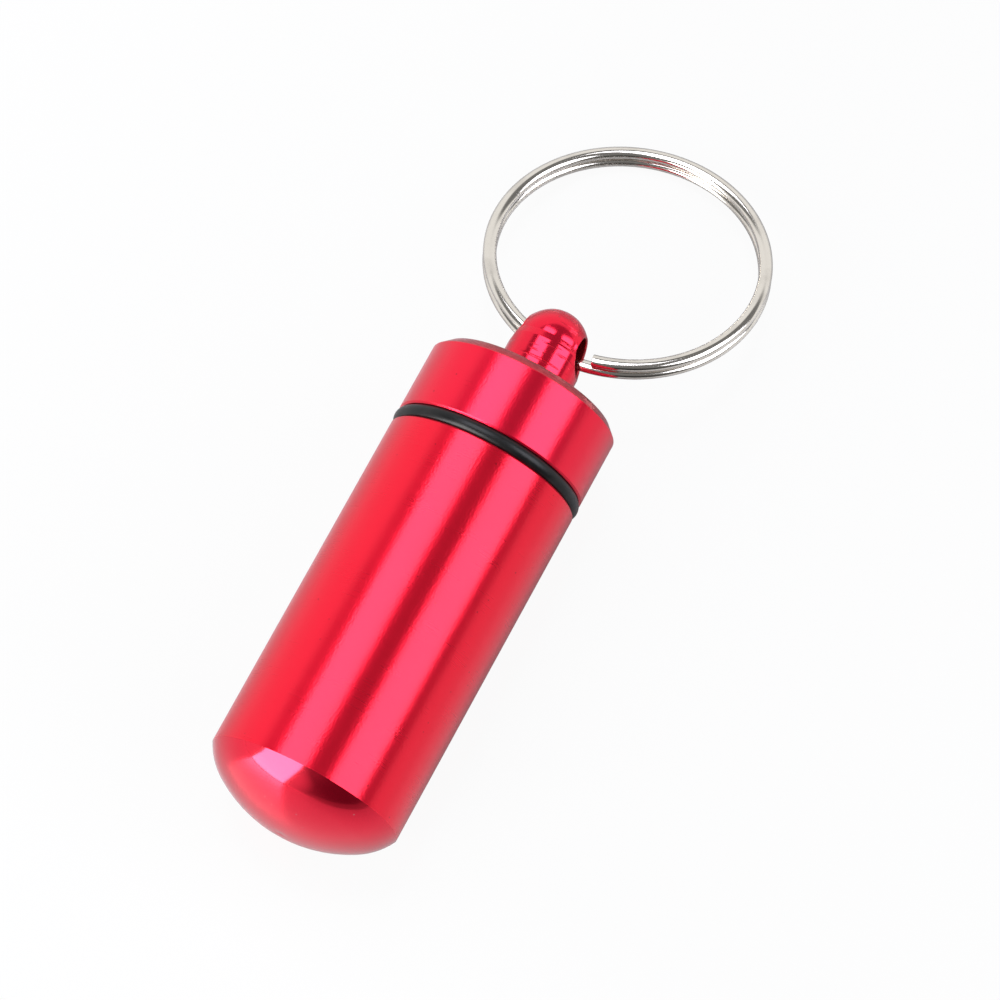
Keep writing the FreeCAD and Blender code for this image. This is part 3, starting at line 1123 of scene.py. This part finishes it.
    def step_in(self, mesh: bmesh.types.BMesh) -> None:
        """Narrow the neck by a short cone where its nose starts, the hole keeping its width.

        Args:
            mesh: The neck's mesh, the hole along its Z axis.
        """
        hole = self.layout.hole
        rim = self.hole_radius + self.rim_break
        start = hole - self.step_drop - self.step_width / 2
        for vertex in mesh.verts:
            fade = held((math.hypot(vertex.co.x - hole, vertex.co.y) - rim) / self.step_fade)
            share = self.step_depth / self.neck_radius * held((vertex.co.x - start) / self.step_width)
            vertex.co.y *= 1 - share * fade
            vertex.co.z *= 1 - share

    def paint_neck(self, mesh: bmesh.types.BMesh) -> None:
        """Give the neck its finishes: the drilled hole, painted dark as shade, the hole's cut rim and the
        turned outside.

        Args:
            mesh: The neck's mesh, the hole along its Y axis.
        """
        for face in mesh.faces:
            middle = face.calc_center_median()
            past_wall = math.hypot(middle.x - self.layout.hole, middle.z) - self.hole_radius
            if past_wall > self.rim_break:
                face.material_index = CapFace.NECK
            else:
                face.material_index = CapFace.CUT_EDGE if past_wall > 0 else CapFace.HOLE

    def ridge(self) -> bmesh.types.BMesh:
        """The plug's thread, tapered where it starts.

        Returns:
            The closed ridge.
        """
        end = self.layout.plug_end
        foot = self.thread.male_root_radius - self.thread.sink
        ridge = self.thread.ridge(end + self.run_out, -self.land - self.run_out, outward=True)
        for vertex in ridge.verts:
            cone = self.thread.outer_radius - self.lead_in + vertex.co.x - end
            if vertex.co.yz.length > max(cone, foot):
                put_at_radius(vertex, max(cone, foot))
            vertex.co.x = max(vertex.co.x, end + self.corner_break)
        return ridge

    def build(self) -> bmesh.types.BMesh:
        """Make the cap's mesh.

        Returns:
            The mesh, along the fob in millimetres.
        """
        mesh = self.disc()
        slope = self.top - self.chamfer
        edge = self.layout.body_radius - self.chamfer
        paint(mesh, CapFace.TOP, lambda x, radius, normal: abs(normal.x) > self.flatness)
        paint(mesh, CapFace.CUT_EDGE, lambda x, radius, normal: slope < x < self.top and radius > edge)
        neck = self.neck()
        self.paint_neck(neck)
        add_shell(mesh, neck)
        add_shell(mesh, self.ridge())
        return mesh

    def dress(self, mesh: bmesh.types.BMesh) -> bpy.types.Object:
        """Give the cap its finishes and place it.

        Args:
            mesh: The cap's mesh.

        Returns:
            The piece.
        """
        looks = {
            CapFace.SIDE: SATIN_CAP, CapFace.TOP: FACED_TOP, CapFace.CUT_EDGE: BARE,
            CapFace.NECK: TURNED_NECK, CapFace.HOLE: HOLE_PAINTED_SHADE,
        }
        finishes = [looks[face].material(self.layout.mouth) for face in CapFace]
        place = self.layout.along_fob(self.layout.cap_roll)
        return make_piece("turned_cap", mesh, place, finishes, Body.CAP, "screw_cap")


@dataclass
class SplitRing:
    """The split ring: one flattened wire in two turns on each other, with a jog inside the neck's hole."""

    layout: Layout
    outer_diameter: float = 24.5
    wire_width: float = 1.15
    stack_height: float = 1.86
    coil_gap: float = 0.10
    squareness: float = 2.05
    section_steps: int = 32
    upper_end_angle: float = 19.0
    lower_end_angle: float = 12.0
    jog_margin_angle: float = 4.0
    jog_bend_radius: float = 2.9
    step_angle: float = 1.2
    fewest_steps: int = 4
    end_break: float = 0.05

    @property
    def wire_height(self) -> float:
        """The wire's thickness in each turn."""
        return (self.stack_height - self.coil_gap) / 2

    @property
    def wire_radius(self) -> float:
        """From the ring's axis to the middle of the wire."""
        return (self.outer_diameter - self.wire_width) / 2

    @property
    def drop(self) -> float:
        """From the middle of the upper turn down to the middle of the lower one."""
        return self.wire_height + self.coil_gap

    def section(self, mesh: bmesh.types.BMesh) -> list[bmesh.types.BMEdge]:
        """The wire's section at the upper turn's cut end: an oval with fuller shoulders than an ellipse's.

        Args:
            mesh: The mesh to draw it in.

        Returns:
            The section's edges.
        """
        bmesh.ops.create_circle(mesh, segments=self.section_steps, radius=1.0)
        for vertex in mesh.verts:
            powers = [abs(value)**self.squareness for value in vertex.co.xy]
            vertex.co *= sum(powers) ** (-1 / self.squareness)
        bmesh.ops.scale(mesh, verts=mesh.verts[:], vec=(self.wire_width / 2, self.wire_height / 2, 1.0))
        bmesh.ops.rotate(mesh, verts=mesh.verts[:], matrix=Matrix.Rotation(math.pi / 2, 3, "X"))
        bmesh.ops.translate(mesh, verts=mesh.verts[:], vec=(self.wire_radius, 0.0, self.drop / 2))
        turn = Matrix.Rotation(math.radians(self.upper_end_angle), 3, "Z")
        bmesh.ops.rotate(mesh, verts=mesh.verts[:], matrix=turn)
        return mesh.edges[:]

    def sweep(self, mesh: bmesh.types.BMesh, edges: list[bmesh.types.BMEdge], centre: Vector, axis: Vector,
              angle: float) -> list[bmesh.types.BMEdge]:
        """Carry the wire on round an arc.

        Args:
            mesh: The wire's mesh.
            edges: The edges of its end.
            centre: The arc's centre.
            axis: The arc's axis.
            angle: How far the arc turns, in degrees.

        Returns:
            The edges of its new end.
        """
        corners = list(dict.fromkeys(vertex for edge in edges for vertex in edge.verts))
        spun = bmesh.ops.spin(
            mesh, geom=corners + edges, cent=centre, axis=axis, angle=math.radians(angle),
            steps=max(self.fewest_steps, round(abs(angle) / self.step_angle)), use_merge=False,
        )
        return [item for item in spun["geom_last"] if isinstance(item, bmesh.types.BMEdge)]

    def bend_centre(self, angle: float) -> Vector:
        """The middle of the level bend that starts or ends at an angle round the ring."""
        turn = math.radians(angle)
        return Vector((math.cos(turn), math.sin(turn), 0.0)) * (self.wire_radius - self.jog_bend_radius)

    def arcs(self) -> list[tuple[Vector, Vector, float]]:
        """The arcs of the wire: the upper turn, four bends down through the hole and the lower turn.

        Returns:
            The centre, the axis and the angle of each.
        """
        first = FULL_TURN - self.lower_end_angle + self.jog_margin_angle
        last = FULL_TURN + self.upper_end_angle - self.jog_margin_angle
        half = (last - first) / 2
        out = self.bend_centre((first + last) / 2).normalized()
        along = UP.cross(out)
        bend = self.wire_radius - self.jog_bend_radius
        reach = bend * math.cos(math.radians(half)) + self.jog_bend_radius
        run = bend * math.sin(math.radians(half))
        dip_radius = (run**2 + (self.drop / 2)**2) / self.drop
        dip = math.degrees(2 * math.atan(self.drop / 2 / run))
        top = out * reach - along * run + UP * (self.drop / 2)
        foot = out * reach + along * run - UP * (self.drop / 2)
        return [
            (Vector(), UP, first - self.upper_end_angle),
            (self.bend_centre(first), UP, half),
            (top - UP * dip_radius, out, -dip),
            (foot + UP * dip_radius, out, dip),
            (self.bend_centre(last), UP, half),
            (Vector(), UP, FULL_TURN - self.lower_end_angle + FULL_TURN - last),
        ]

    def build(self) -> bmesh.types.BMesh:
        """Make the ring's mesh.

        Returns:
            The mesh, about the ring's own axis in millimetres, with the hole on its +X side.
        """
        mesh = bmesh.new()
        start = self.section(mesh)
        end = start
        for centre, axis, angle in self.arcs():
            end = self.sweep(mesh, end, centre, axis, angle)
        for edges in (start, end):
            bmesh.ops.contextual_create(mesh, geom=edges)
        bmesh.ops.bevel(
            mesh, geom=start + end, offset=self.end_break, offset_type="OFFSET", segments=2, profile=0.5,
            affect="EDGES", material=-1,
        )
        return tidied(mesh)

    def dress(self, mesh: bmesh.types.BMesh) -> bpy.types.Object:
        """Give the ring its finish and place it.

        Args:
            mesh: The ring's mesh.

        Returns:
            The piece.
        """
        finishes = [PLATED.material(self.layout)]
        place = self.layout.about_ring()
        return make_piece("wound_ring", mesh, place, finishes, Body.RING, "split_ring")


@dataclass(frozen=True)
class SoftBox:
    """A soft lamp, placed by the direction that it shines from."""

    name: str
    bearing: float
    height: float
    width: float
    length: float
    level: float
    upright: bool = False
    distance: float = 0.9
    tint: Colour = (0.97, 0.99, 1.10)

    def hang(self, target: Vector) -> None:
        """Hang the lamp, its length along the fob or upright.

        Args:
            target: The point that it faces, in metres.
        """
        away = direction(self.bearing, self.height)
        length_along = UP if self.upright else ALONG
        lengthways = (length_along - away * length_along.dot(away)).normalized()
        lamp = bpy.data.lights.new(self.name, "AREA")
        lamp.shape = "RECTANGLE"
        lamp.size = 2 * self.distance * math.tan(math.radians(self.length / 2))
        lamp.size_y = 2 * self.distance * math.tan(math.radians(self.width / 2))
        lamp.energy = self.level * math.pi * lamp.size * lamp.size_y
        lamp.color = self.tint
        holder = bpy.data.objects.new(self.name, lamp)
        holder.matrix_world = turned_to(lengthways, away, target + away * self.distance)
        holder.visible_camera = False
        bpy.context.scene.collection.objects.link(holder)


@dataclass(frozen=True)
class Fade:
    """A gradual change in the room's brightness, by how far a ray leans towards a direction."""

    towards: tuple[float, float, float]
    span: Span

    def level(self, room: Graph, levels: Span) -> Socket:
        """The brightness that a ray meets, from the levels at the two ends of the change."""
        ray = room.node("ShaderNodeTexCoord").outputs["Generated"]
        return room.ranged(room.on_vector("DOT_PRODUCT", ray, self.towards), self.span, levels, Easing.GENTLE)


@dataclass
class Studio:
    """The pale floor, the soft lamps, the pale walls and the camera.

    The eye is shown seen_glow of a full white floor. Metal and glass are shown less of it: mirrored_glow
    ahead of the dome, and beside the vial a painted shadow: a share that grows from its side to shade_reach
    away.
    Beside the vial the floor's own colour is darker too, also a painted shadow.
    """

    layout: Layout
    aim_along: float = -1.57
    aim_across: float = -2.50
    camera_bearing: float = 207.8
    camera_height: float = 72.4
    camera_distance: float = 446.07
    lens: float = 194.6
    sensor: float = 36.0
    floor_size: float = 4000.0
    floor_colour: Colour = (0.43, 0.43, 0.43)
    floor_roughness: float = 0.22
    # Painted shadow: beside the vial the floor's colour is darkened to this, fading out a set reach from its
    # side.
    shaded_colour: Colour = (0.28, 0.28, 0.28)
    shade_reach: float = 60.0
    dome_margin: float = 8.0
    seen_glow: float = 0.94
    mirrored_glow: float = 0.15
    # Painted shadow for metal and glass: the share of white shown beside the vial, low at its side and high
    # far off.
    painted_shadow_glow: Span = Span(0.05, 0.80)
    wall_level: float = 1.0
    ceiling_level: float = 0.20
    dark_share: float = 0.15
    spill_level: float = 0.85
    ceiling: Fade = Fade((-0.25, -0.239, 1.0), Span(0.24, 0.34))
    dark_place: Fade = Fade((-0.76, -0.54, 0.36), Span(0.82, 1.0))
    spill: Fade = Fade((-0.81, 0.49, 0.33), Span(0.74, 0.94))
    skirting: Fade = Fade((0.0, 0.0, 1.0), Span(0.10, 0.14))
    lamps: tuple[SoftBox, ...] = (
        SoftBox("left_box", bearing=51.1, height=64.7, width=34.0, length=44.0, level=4.6),
        SoftBox("right_box", bearing=-69.2, height=41.1, width=38.0, length=44.0, level=4.6),
        SoftBox("front_box", bearing=150.0, height=24.5, width=34.0, length=48.0, level=9.5, upright=True,
                tint=WHITE),
    )

    @property
    def target(self) -> Vector:
        """The point at the middle of the picture, in metres."""
        return self.layout.mouth + Vector((self.aim_along, self.aim_across, 0.0)) * MM

    def paleness(self, graph: Graph, mirrored: Value) -> Socket:
        """How much of the pale background a ray is shown: most of it by eye, less of it in metal or glass.

        Args:
            graph: The nodes of the floor or of the room.
            mirrored: How much of it metal and glass show.

        Returns:
            The share, from 0 to 1.
        """
        path = graph.node("ShaderNodeLightPath")
        share = graph.combined("MULTIPLY", path.outputs["Is Camera Ray"], self.seen_glow)
        for ray in ("Is Glossy Ray", "Is Transmission Ray"):
            shown = graph.combined("MULTIPLY", path.outputs[ray], mirrored)
            share = graph.combined("MAXIMUM", share, shown)
        return share

    def floor_finish(self) -> bpy.types.Material:
        """Make the floor's material: white to the eye, and to the metal darker close beside the vial, a
        painted shadow.

        Returns:
            The material.
        """
        shader = Shader("pale_floor")
        place = shader.node("ShaderNodeSeparateXYZ")
        shader.wire(shader.mapped(self.layout.mouth), place.inputs["Vector"])
        tip = self.layout.tip * MM
        margin = self.dome_margin * MM
        beside = shader.ranged(place.outputs["X"], Span(tip - margin, tip + margin), UNIT)
        side = self.layout.body_radius * MM
        reach = Span(side, side + self.shade_reach * MM)
        across = shader.combined("ABSOLUTE", place.outputs["Y"])
        # Painted shadow in the metal: beside the vial, less white is shown close to its side.
        glow = shader.ranged(across, reach, self.painted_shadow_glow)
        mirrored = shader.mixed(Mix.NUMBER, beside, self.mirrored_glow, glow)
        # Painted shadow: the floor's colour darkens close beside the vial's sides.
        shade = shader.combined("MULTIPLY", beside, shader.ranged(across, reach, REVERSED))
        colour = shader.mixed(Mix.COLOUR, shade, self.floor_colour, self.shaded_colour)
        shader.feed(Base_Color=colour, Roughness=self.floor_roughness)
        white = shader.node("ShaderNodeEmission")
        blend = shader.node("ShaderNodeMixShader")
        shader.wire(self.paleness(shader, mirrored), blend.inputs["Fac"])
        shader.wire(shader.surface.outputs["BSDF"], blend.inputs[1])
        shader.wire(white.outputs["Emission"], blend.inputs[2])
        shader.wire(blend.outputs["Shader"], shader.tree.nodes["Material Output"].inputs["Surface"])
        return shader.material

    def lay_floor(self) -> None:
        """Lay the floor under the fob."""
        mesh = bmesh.new()
        bmesh.ops.create_grid(mesh, x_segments=1, y_segments=1, size=self.floor_size * MM / 2)
        data = bpy.data.meshes.new("floor")
        mesh.to_mesh(data)
        mesh.free()
        data.materials.append(self.floor_finish())
        floor = bpy.data.objects.new("floor", data)
        bpy.context.scene.collection.objects.link(floor)

    def paint_walls(self) -> None:
        """Make the room: pale walls, a dimmer ceiling, a dark place in it and the front lamp's spill."""
        world = bpy.data.worlds.new("studio")
        world.use_nodes = True
        bpy.context.scene.world = world
        room = Graph(world.node_tree)
        ceiling = self.ceiling.level(room, Span(self.wall_level, self.ceiling_level))
        dark = self.dark_place.level(room, Span(1.0, self.dark_share))
        spill = self.spill.level(room, Span(0.0, self.spill_level))
        lit = room.combined("MAXIMUM", room.combined("MULTIPLY", ceiling, dark), spill)
        low = self.skirting.level(room, REVERSED)
        pale = room.combined("MULTIPLY", low, self.paleness(room, self.mirrored_glow))
        back = room.tree.nodes["Background"]
        room.wire(WHITE, back.inputs["Color"])
        room.wire(room.mixed(Mix.NUMBER, pale, lit, self.wall_level), back.inputs["Strength"])

    def set_camera(self) -> None:
        """Stand the camera where the photograph was taken from."""
        back = direction(self.camera_bearing, self.camera_height)
        right = UP.cross(back).normalized()
        data = bpy.data.cameras.new("camera")
        data.lens = self.lens
        data.sensor_width = self.sensor
        camera = bpy.data.objects.new("camera", data)
        camera.matrix_world = turned_to(right, back, self.target + back * self.camera_distance * MM)
        bpy.context.scene.collection.objects.link(camera)
        bpy.context.scene.camera = camera

    def build(self) -> None:
        """Set up the whole studio."""
        self.lay_floor()
        self.paint_walls()
        self.set_camera()
        for lamp in self.lamps:
            lamp.hang(self.target)
        bpy.context.scene.view_settings.view_transform = "Standard"


SATIN_SIDE = AnodisedFinish(
    "satin_red_side", Lay.ALONG_AXIS, roughness=0.28, anisotropy=0.85, mark_pitch=0.05, mark_depth=0.00015,
    mark_spread=0.06, grain_depth=0.009, colour=(0.84, 0.0056, 0.031), deep_colour=(0.825, 0.0055, 0.0305),
)
SATIN_CAP = AnodisedFinish(
    "satin_red_cap", Lay.ALONG_AXIS, roughness=0.29, anisotropy=0.85, mark_pitch=0.06, mark_depth=0.0002,
    mark_spread=0.07, grain_depth=0.009,
)
BRIGHT_DOME = AnodisedFinish(
    "bright_red_dome", Lay.ACROSS_FACE, roughness=0.08, anisotropy=0.0, mark_pitch=0.12, mark_depth=0.00005,
    metal_share=0.92, film=0.45, speck_colour=(0.70, 0.22, 0.25),
)
BORED_INSIDE = AnodisedFinish(
    "bored_red_inside", Lay.ALONG_AXIS, roughness=0.36, anisotropy=0.6, mark_pitch=0.16, mark_depth=0.002,
)
FACED_TOP = AnodisedFinish(
    "faced_red_top", Lay.ACROSS_FACE, roughness=0.26, anisotropy=0.7, mark_pitch=0.10, mark_depth=0.001,
)
# Painted shade: the hole's wall is coloured far darker than the red outside, for the shade inside the hole.
HOLE_PAINTED_SHADE = AnodisedFinish(
    "drilled_red_hole_painted_shade", Lay.ALONG_AXIS, roughness=0.36, anisotropy=0.0, mark_pitch=0.16, mark_depth=0.002,
    colour=(0.30, 0.004, 0.012), deep_colour=(0.20, 0.003, 0.008),
)
TURNED_NECK = AnodisedFinish(
    "turned_red_neck", Lay.ALONG_AXIS, roughness=0.15, anisotropy=0.3, mark_pitch=0.36, mark_depth=0.045,
    cut_span=Span(0.30, 0.42),
)
BARE = BareFinish()
RUBBER = RubberFinish()
PLATED = PlatedFinish()


def main() -> None:
    """Build the fob and its studio."""
    logging.basicConfig(level=logging.INFO)
    layout = Layout.read()
    thread = Thread()
    for part in (Vial(layout, thread), Seal(layout), Cap(layout, thread), SplitRing(layout)):
        piece = part.dress(part.build())
        LOG.info("%s: %d faces", piece.name, len(piece.data.polygons))
    Studio(layout).build()


if __name__ == "__main__":
    main()
